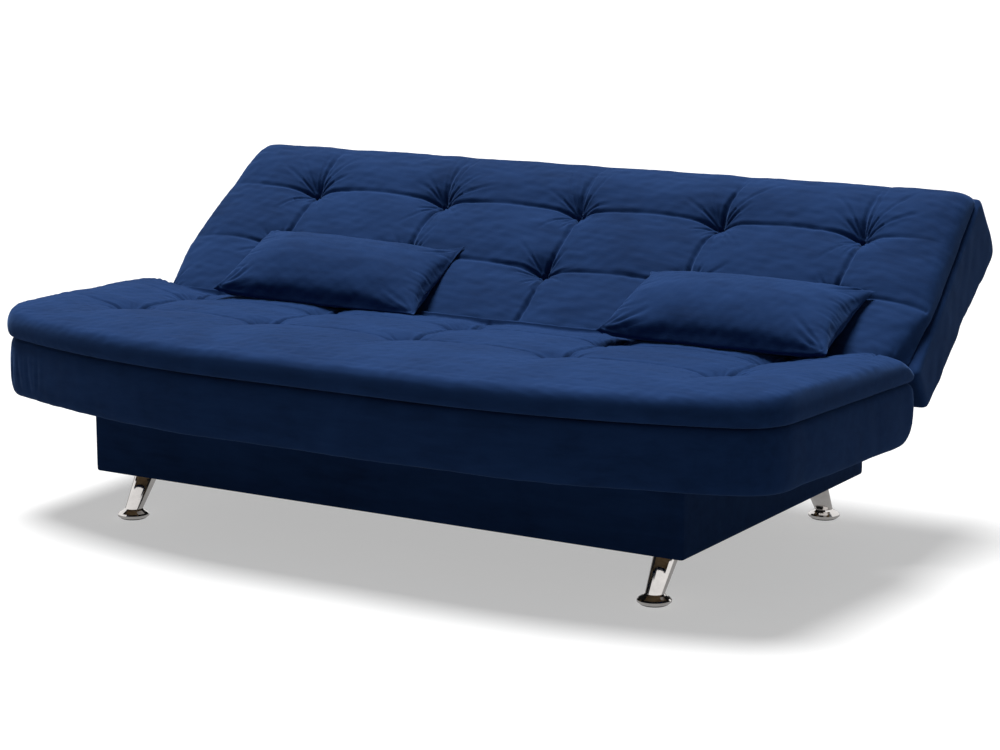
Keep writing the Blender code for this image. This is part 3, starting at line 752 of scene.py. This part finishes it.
def shape_back(pad):
    """Tuft, inflate and crease the back pad, in its flat frame."""
    rng = np.random.default_rng(23)
    upper = [(x, BACK_ROWS[0]) for x in BACK_COLUMNS]
    lower = [(x - 0.006, BACK_ROWS[1]) for x in BACK_COLUMNS]
    tufts = upper + lower
    wobble = (0.006, -0.004, 0.007, -0.005, 0.004)
    lines = back_lines(wobble)
    co = points(pad)
    nor = normals(pad)
    uv = co[:, :2].copy()
    top = smooth_step(nor[:, 2], 0.15, 0.80) * smooth_step(co[:, 2], 0.092, 0.116)
    height = broad_shape(uv, lines, tufts, (0.080, 0.0052), (0.007, 0.028))
    edge = smooth_step(np.abs(uv[:, 0]), 0.80, 0.88)
    co[:, 2] += (height - 0.003 * edge) * top
    put(pad, co)
    held = (co[:, 2] < 0.070) | near_tufts(uv, tufts, 0.013) | (nor[:, 2] < -0.4)
    held |= uv[:, 1] < 0.0
    held |= (nor[:, 2] < 0.80) & ~near_tufts(uv, tufts, 0.090)
    inflate(pad, 4.0, 0.010, held)
    subdivide(pad)
    refine(pad, lines, tufts, 0.013, 0.055)
    co = points(pad)
    nor = normals(pad)
    uv = co[:, :2].copy()
    top = smooth_step(nor[:, 2], 0.10, 0.70) * smooth_step(co[:, 2], 0.080, 0.100)
    height = creases(uv, lines, (0.0062, 0.0078, 0.0055))
    for tuft in tufts:
        height += dimple(uv, tuft, 0.008, 0.017)
    for tuft in upper:
        fan(uv, height, tuft, rng, spread_angles(rng, 6, 0.14 * math.pi, 0.86 * math.pi),
            (0.085, 0.165), 0.0044, (0.0026, 0.0080))
        fan(uv, height, tuft, rng, spread_angles(rng, 6, 1.12 * math.pi, 1.88 * math.pi),
            (0.040, 0.110), 0.0032, (0.0026, 0.0070))
    for tuft in lower:
        fan(uv, height, tuft, rng, spread_angles(rng, 10, 0, 2 * math.pi),
            (0.040, 0.110), 0.0036, (0.0026, 0.0070))
    for sign in (-1, 1):
        corner = (sign * 0.900, -0.020)
        middle = math.pi / 2 + sign * 0.12 * math.pi
        fan(uv, height, corner, rng, spread_angles(rng, 6, middle - 0.30 * math.pi,
                                                   middle + 0.30 * math.pi),
            (0.050, 0.105), 0.0042)
    height += 0.0010 * wander(uv, 0.15, 8) + 0.0005 * wander(uv, 0.045, 9)
    height += 0.0005 * wander(uv * (0.40, 1.60), 0.040, 10)
    co[:, 2] += height * top
    put(pad, co)
    relax(pad, 1, 0.15)


# ---- pillows ---------------------------------------------------------------------------
def pillow(name, place, seed):
    """Knife-edge pillow: two flat sheets sewn at the rim, blown up and laid in its place."""
    width, tall = 0.530, 0.275
    across, up = 104, 56
    verts, faces, index = [], [], {}
    for side in (-1, 1):
        for i in range(across + 1):
            for j in range(up + 1):
                rim = i in (0, across) or j in (0, up)
                if rim and side == 1:
                    index[(1, i, j)] = index[(-1, i, j)]
                    continue
                u = 2 * i / across - 1
                v = 2 * j / up - 1
                body = (1 - abs(u) ** 3.6) ** 0.85 * (1 - abs(v) ** 2.0) ** 0.90
                index[(side, i, j)] = len(verts)
                verts.append((u * width / 2 * (1 - 0.035 * (1 - abs(v) ** 2.5)),
                              v * tall / 2 * (1 - 0.070 * (1 - abs(u) ** 4)),
                              0.0 if rim else side * 0.050 * body))
        for i in range(across):
            for j in range(up):
                quad = (index[(side, i, j)], index[(side, i + 1, j)],
                        index[(side, i + 1, j + 1)], index[(side, i, j + 1)])
                faces.append(quad if side == 1 else quad[::-1])
    obj = add(name, verts, faces)
    co = points(obj)
    co[:, 2] += 0.0010 * ripple(co, 0.06, seed) * (np.abs(co[:, 2]) > 1e-6)
    put(obj, co)
    inflate(obj, 4.0, 0.012, np.zeros(len(co)), frames=14, stiff=18.0)
    relax(obj, 1, 0.3)
    co = points(obj)
    co -= (co.max(0) + co.min(0)) / 2
    co *= np.array(PILLOW_SIZE) / np.ptp(co, axis=0)
    put(obj, co)
    subdivide(obj)
    pleats(obj, seed)
    co = points(obj)
    across_share = np.clip(np.abs(co[:, 0]) / 0.256, 0, 1)
    front_share = np.clip((-co[:, 1] / 0.131 - 0.15) / 0.85, 0, 1)
    sag = 0.023 * (1 - across_share ** 4) * front_share ** 1.4
    x, y, z, tilt, yaw, roll = place
    turn = (Matrix.Rotation(math.radians(yaw), 4, "Z")
            @ Matrix.Rotation(math.radians(roll), 4, "Y")
            @ Matrix.Rotation(math.radians(tilt), 4, "X"))
    obj.data.transform(Matrix.Translation((x, y, z)) @ turn)
    co = points(obj)
    co[:, 2] -= sag
    put(obj, co)
    settle(obj)
    crumple(obj, ((0.0008, 0.09, seed), (0.0004, 0.03, seed + 1)))
    return obj


def pleats(obj, seed):
    """Gathers that run in from the corners and the short seams of a pillow."""
    rng = np.random.default_rng(seed + 40)
    co = points(obj)
    uv = co[:, :2].copy()
    height = np.zeros(len(co))
    for sx in (-1, 1):
        for sy in (-1, 1):
            inward = math.atan2(-sy * 0.45, -sx)
            fan(uv, height, (sx * 0.246, sy * 0.122), rng,
                spread_angles(rng, 4, inward - 0.42, inward + 0.42),
                (0.050, 0.115), 0.0042, (0.0034, 0.0095))
        for y in np.linspace(-0.075, 0.075, 6):
            y0 = y + rng.uniform(-0.008, 0.008)
            long = rng.uniform(0.035, 0.080)
            path = curve((sx * 0.252, y0), (sx * (0.252 - long), y0 * 0.85),
                         rng.uniform(-0.004, 0.004))
            t = np.linspace(0, 1, len(path))
            near, rise = fold(uv, path, 0.0040 + 0.004 * t,
                              rng.uniform(0.0016, 0.0032) * (1 - t) ** 0.8)
            height[near] += rise
    fade = smooth_step(np.abs(co[:, 2]), 0.001, 0.010)
    co[:, 2] += np.sign(co[:, 2]) * height * fade
    put(obj, co)


def settle(obj):
    """Flatten a pillow where it rests on the seat and leans on the back."""
    co = points(obj)
    c, k = math.cos(BACK_ANGLE), math.sin(BACK_ANGLE)
    low = PILLOW_LOW - co[:, 2]
    co[:, 2] += np.where(low > -0.006, (low + 0.006) * 0.5 * (low < 0.006) + low * (low >= 0.006),
                         0.0)
    n = -(co[:, 1] - HINGE.y) * k + (co[:, 2] - HINGE.z) * c
    deep = PILLOW_REAR - n
    push = np.where(deep > -0.006, (deep + 0.006) * 0.5 * (deep < 0.006) + deep * (deep >= 0.006),
                    0.0)
    co[:, 1] -= push * k
    co[:, 2] += push * c
    put(obj, co)


# ---- fabric over the frames ------------------------------------------------------------
def closest(outline, p):
    """Nearest point to p on an open polyline."""
    best = None
    for a, b in zip(outline, outline[1:]):
        ax, ay = a
        bx, by = b
        dx, dy = bx - ax, by - ay
        t = ((p[0] - ax) * dx + (p[1] - ay) * dy) / (dx * dx + dy * dy)
        t = min(max(t, 0.0), 1.0)
        q = (ax + t * dx, ay + t * dy)
        dist = math.hypot(q[0] - p[0], q[1] - p[1])
        if best is None or dist < best[0]:
            best = (dist, q)
    return best[1]


def seat_band():
    """Padded faces of the seat's frame, front and sides in one sweep."""
    boards = [(0.0, -0.5790), (0.250, -0.5790), (0.852, -0.4640), (0.8868, -0.4340),
              (0.8868, SEAT_REAR)]
    half = seat_half(0.0, SEAT_REAR, 0.0)
    profile = ((BAND_LOW, -0.016), (0.2556, -0.009), (0.2590, -0.0035), (0.266, 0.0008),
               (0.280, 0.0036), (0.300, 0.0048), (0.325, 0.0048), (0.345, 0.0042),
               (0.360, 0.0028), (0.370, 0.0008), (0.3765, -0.0028), (0.3800, -0.0078),
               (BAND_TOP, -0.0140))
    sections = []
    halves = {z: seat_half(offset, SEAT_REAR, 0.0) for z, offset in profile}
    count = len(half)
    for k in range(-(count - 1), count):
        i = abs(k)
        sign = -1 if k < 0 else 1
        inner = closest(boards, half[i])
        turn = max(half[i][1] - (SEAT_REAR - BAND_ROUND), 0.0)
        lift = BAND_ROUND - math.sqrt(max(BAND_ROUND ** 2 - turn ** 2, 0.0))
        lift = lift / (BAND_TOP - BAND_LOW)
        section = [(sign * halves[z][i][0], halves[z][i][1], z + (BAND_TOP - z) * lift)
                   for z, _ in profile]
        section.append((sign * inner[0], inner[1], BAND_TOP))
        section.append((sign * inner[0], inner[1], BAND_LOW + (BAND_TOP - BAND_LOW) * lift))
        sections.append(section)
    band = loft("seat_band", sections)
    subdivide(band, 2)
    crumple(band, ((0.0011, 0.22, 31), (0.0005, 0.06, 32)))
    corner_wrinkles(band)
    return band


def corner_wrinkles(band):
    """Soft upright creases where the facing turns the front corners."""
    rng = np.random.default_rng(51)
    co = points(band)
    nor = normals(band)
    uv = co[:, [0, 2]].copy()
    push = np.zeros(len(co))
    for sign in (-1, 1):
        for x in (0.772, 0.800, 0.835, 0.866):
            top, low = rng.uniform(0.335, 0.368), rng.uniform(0.268, 0.292)
            path = curve((sign * x, low), (sign * (x + rng.uniform(-0.010, 0.010)), top),
                         rng.uniform(-0.004, 0.004))
            t = np.linspace(0, 1, len(path))
            near, rise = fold(uv, path, 0.007, 0.0024 * np.sin(math.pi * (0.1 + 0.85 * t)))
            push[near] += rise
    push *= nor[:, 1] < -0.3
    put(band, co + nor * push[:, None])


def seat_rear_face():
    """Slightly padded strip across the rear of the seat, between the hinges."""
    low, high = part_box("seat_border_rear")
    rings = []
    for i in range(25):
        x = low.x + (high.x - low.x) * i / 24
        rings.append([(x, low.y, low.z), (x, high.y - 0.003, low.z), (x, high.y, low.z + 0.003),
                      (x, high.y + 0.0015, (low.z + high.z) / 2), (x, high.y, high.z - 0.003),
                      (x, high.y - 0.003, high.z), (x, low.y, high.z)])
    return loft("seat_rear_face", rings)


def rail_end(name, sign):
    """Fabric turned in over the rear end of a side board of the seat."""
    rings = []
    for z, inset in ((0.2544, 0.0025), (0.2549, 0.001), (0.262, 0.0), (0.300, -0.0008),
                     (0.340, -0.0008), (0.374, 0.0), (0.3780, 0.001), (0.3795, 0.004)):
        x0, x1 = 0.8716 + inset, 0.8885
        y0, y1 = 0.0798, 0.0905 - inset
        ring = [(x0, y0), (0.8870, y0), (0.8870, 0.058), (x1, 0.058), (x1, y1),
                (x0 + 0.003, y1), (x0, y1 - 0.003)]
        rings.append([(sign * x, y, z) for x, y in ring])
    return loft(name, rings)


def rounded_rectangle(half_x, y0, y1, radius, steps=5):
    """Outline of a rectangle with round corners, anticlockwise."""
    out = []
    corners = ((half_x - radius, y0 + radius, -math.pi / 2), (half_x - radius, y1 - radius, 0),
               (-half_x + radius, y1 - radius, math.pi / 2), (-half_x + radius, y0 + radius,
                                                              math.pi))
    for cx, cy, a0 in corners:
        for i in range(steps + 1):
            a = a0 + math.pi / 2 * i / steps
            out.append((cx + radius * math.cos(a), cy + radius * math.sin(a)))
    return out


def densify(outline, step):
    """Add points to a closed outline so that none are further apart than about step."""
    out = []
    for a, b in zip(outline, outline[1:] + outline[:1]):
        n = max(1, int(math.hypot(b[0] - a[0], b[1] - a[1]) / step))
        for i in range(n):
            t = i / n
            out.append((a[0] + (b[0] - a[0]) * t, a[1] + (b[1] - a[1]) * t))
    return out


def base_skirt():
    """Fabric round the four faces of the base, turned in at the top and bottom."""
    outline = densify(rounded_rectangle(BASE_HALF, BASE_FRONT, BASE_REAR, 0.006), 0.012)
    profile = ((BASE_TOP, 0.008), (BASE_TOP, 0.002), (BASE_TOP - 0.003, 0.0), (0.220, 0.0),
               (0.190, 0.0), (0.160, 0.0), (0.130, 0.0), (0.112, 0.0), (0.104, 0.0002),
               (0.1005, 0.0016), (BASE_LOW, 0.004), (BASE_LOW, 0.008))
    sections = []
    for x, y in outline:
        section = []
        for z, inset in profile:
            px, py = x, y
            if abs(x) > BASE_HALF - 0.02:
                px = x - math.copysign(inset, x)
            if y < BASE_FRONT + 0.02:
                py = y + inset
            elif y > BASE_REAR - 0.02:
                py = y - inset
            section.append((px, py, z))
        sections.append(section)
    return loft("base_skirt", sections, around=True)


def back_shell():
    """Upholstered rear, top and sides of the back's frame, in its flat frame."""
    section = ((0.028, 0.0622), (0.024, -0.034), (0.028, -0.041), (0.038, -0.0460),
               (0.150, -0.0550), (0.286, -0.0622), (0.350, -0.0760), (0.420, -0.0865),
               (0.478, -0.0935), (0.498, -0.0940),
               (0.511, -0.0890), (0.519, -0.0790), (0.523, -0.062), (0.523, 0.020),
               (0.523, 0.046), (0.522, 0.0575), (0.518, 0.0622), (0.500, DECK_COVER))
    sides = ((0.010, 0.0), (0.004, 0.0015), (0.001, 0.0040), (0.0, 0.010))

    def ring(sign, side_in, shrink):
        out = []
        for s, n in section:
            x = back_half_width(s) - side_in
            s2 = s + (0.28 - s) * shrink / 0.25
            n2 = n + (0.0 - n) * shrink / 0.07
            out.append((sign * x, s2, min(n2, DECK_COVER)))
        return out

    left = [ring(-1, side_in, shrink) for side_in, shrink in reversed(sides)]
    right = [ring(1, side_in, shrink) for side_in, shrink in sides]
    rings = left
    for i in range(1, 30):
        t = i / 30
        rings.append([(a[0] + (b[0] - a[0]) * t, a[1], a[2]) for a, b in zip(left[-1], right[0])])
    rings += right
    shell = loft("back_shell", rings)
    remesh(shell, 0.007)
    relax(shell, 1)
    subdivide(shell)
    crumple(shell, ((0.0012, 0.20, 41), (0.0005, 0.06, 42)))
    raise_back(shell)
    return shell


# ---- stage -----------------------------------------------------------------------------
def camera():
    """The picture's camera: place, turn and lens come from the fit to the object's edges."""
    data = bpy.data.cameras.new("camera")
    data.lens = 93.81
    data.sensor_width = 36.0
    cam = bpy.data.objects.new("camera", data)
    cam.location = (2.8564, -4.5737, 1.3827)
    cam.rotation_euler = (math.radians(78.752), math.radians(0.02), math.radians(31.486))
    bpy.context.scene.collection.objects.link(cam)
    bpy.context.scene.camera = cam


def studio():
    """Wide soft light from above; a pale floor with a painted glow that lifts its cast shadow and
    brightens the chrome; a bright surround seen by the camera and in glossy reflections.
    """
    scene = bpy.context.scene
    scene.view_settings.view_transform = "Standard"
    world = bpy.data.worlds.new("studio")
    world.use_nodes = True
    nodes, links = world.node_tree.nodes, world.node_tree.links
    fill = nodes["Background"]
    fill.inputs["Color"].default_value = (1.0, 1.0, 1.0, 1.0)
    fill.inputs["Strength"].default_value = 0.08
    seen = nodes.new("ShaderNodeBackground")
    seen.inputs["Color"].default_value = (1.0, 1.0, 1.0, 1.0)
    seen.inputs["Strength"].default_value = 1.0
    pick = nodes.new("ShaderNodeLightPath")
    either = nodes.new("ShaderNodeMath")
    either.operation = "MAXIMUM"
    links.new(pick.outputs["Is Camera Ray"], either.inputs[0])
    links.new(pick.outputs["Is Glossy Ray"], either.inputs[1])
    mix = nodes.new("ShaderNodeMixShader")
    links.new(either.outputs["Value"], mix.inputs["Fac"])
    links.new(fill.outputs["Background"], mix.inputs[1])
    links.new(seen.outputs["Background"], mix.inputs[2])
    links.new(mix.outputs["Shader"], nodes["World Output"].inputs["Surface"])
    scene.world = world
    sun = bpy.data.lights.new("overhead", "SUN")
    sun.angle = math.radians(28)
    sun.energy = 4.7
    lamp = bpy.data.objects.new("overhead", sun)
    lamp.rotation_euler = (math.radians(-8.0), math.radians(-12.0), 0)
    scene.collection.objects.link(lamp)
    mesh = bpy.data.meshes.new("floor")
    r = 70.0
    mesh.from_pydata([(-r, -r, 0), (r, -r, 0), (r, r, 0), (-r, r, 0)], [], [(0, 1, 2, 3)])
    floor = bpy.data.objects.new("floor", mesh)
    floor.location.z = -0.0005
    scene.collection.objects.link(floor)
    mat, nodes, links, bsdf = shader("pale_floor_painted_glow")
    at = coordinates(nodes, links)
    spots = noise(nodes, links, at, 3.0, 4.0)
    links.new(ramp(nodes, links, spots, ((0.3, (0.48, 0.48, 0.48)), (0.7, (0.51, 0.51, 0.51)))),
              bsdf.inputs["Base Color"])
    bsdf.inputs["Roughness"].default_value = 0.85
    # Camera rays see the floor glow: painted light that lifts the sofa's cast shadow towards
    # white.
    bsdf.inputs["Emission Color"].default_value = (1.0, 1.0, 1.0, 1.0)
    bsdf.inputs["Emission Strength"].default_value = 0.45
    # Other rays see a darker floor that bounces less light onto the sofa; glossy rays see the
    # floor glow, a painted bright reflection in the chrome.
    dim = nodes.new("ShaderNodeBsdfDiffuse")
    dim.inputs["Color"].default_value = (0.27, 0.27, 0.27, 1.0)
    painted_glow = nodes.new("ShaderNodeEmission")
    painted_glow.inputs["Strength"].default_value = 0.35
    pick = nodes.new("ShaderNodeLightPath")
    shine = nodes.new("ShaderNodeMixShader")
    links.new(pick.outputs["Is Glossy Ray"], shine.inputs["Fac"])
    links.new(dim.outputs["BSDF"], shine.inputs[1])
    links.new(painted_glow.outputs["Emission"], shine.inputs[2])
    mix = nodes.new("ShaderNodeMixShader")
    links.new(pick.outputs["Is Camera Ray"], mix.inputs["Fac"])
    links.new(shine.outputs["Shader"], mix.inputs[1])
    links.new(bsdf.outputs["BSDF"], mix.inputs[2])
    links.new(mix.outputs["Shader"], nodes["Material Output"].inputs["Surface"])
    mesh.materials.append(mat)


# ---- assembly --------------------------------------------------------------------------
camera()
studio()

for node_name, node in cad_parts.items():
    for holder in node.material_slots:
        key_name = holder.material.name.split(".")[0] if holder.material else "navy_velvet"
        holder.material = FINISHES.get(key_name, NAVY)

pad = dress(seat_pad(), "navy_velvet")
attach(pad, "frame")
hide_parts("seat_cushion")

back = dress(back_pad(), "navy_velvet")
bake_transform(back)
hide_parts("back_cushion")

PLACES = {"left": (-0.413, 0.0880, 0.4860, 22.3, 4.4, 2.2),
          "right": (0.562, 0.0780, 0.4860, 19.0, 0.7, 0.0)}
for side, seed in (("left", 5), ("right", 6)):
    node = "pillow_" + side
    cushion = dress(pillow("scatter_pillow_" + side, PLACES[side], seed), "navy_velvet")
    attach(cushion, node)
    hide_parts(node)
    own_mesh(cushion)

band = dress(seat_band(), "navy_velvet")
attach(band, "frame")
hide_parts("seat_border_front", "seat_border_left", "seat_border_right")
rear_face = dress(seat_rear_face(), "navy_velvet")
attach(rear_face, "frame")
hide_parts("seat_border_rear")
for side, sign in (("left", -1), ("right", 1)):
    end = dress(rail_end("rail_end_wrap_" + side, sign), "navy_velvet")
    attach(end, "frame")
skirt = dress(base_skirt(), "navy_velvet")
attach(skirt, "frame")
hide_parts("base_cover_front", "base_cover_rear", "base_cover_left", "base_cover_right")
shell = dress(back_shell(), "navy_velvet")
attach(shell, "back")
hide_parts("back_rear_panel", "back_top_panel", "back_side_panel_left",
            "back_side_panel_right")
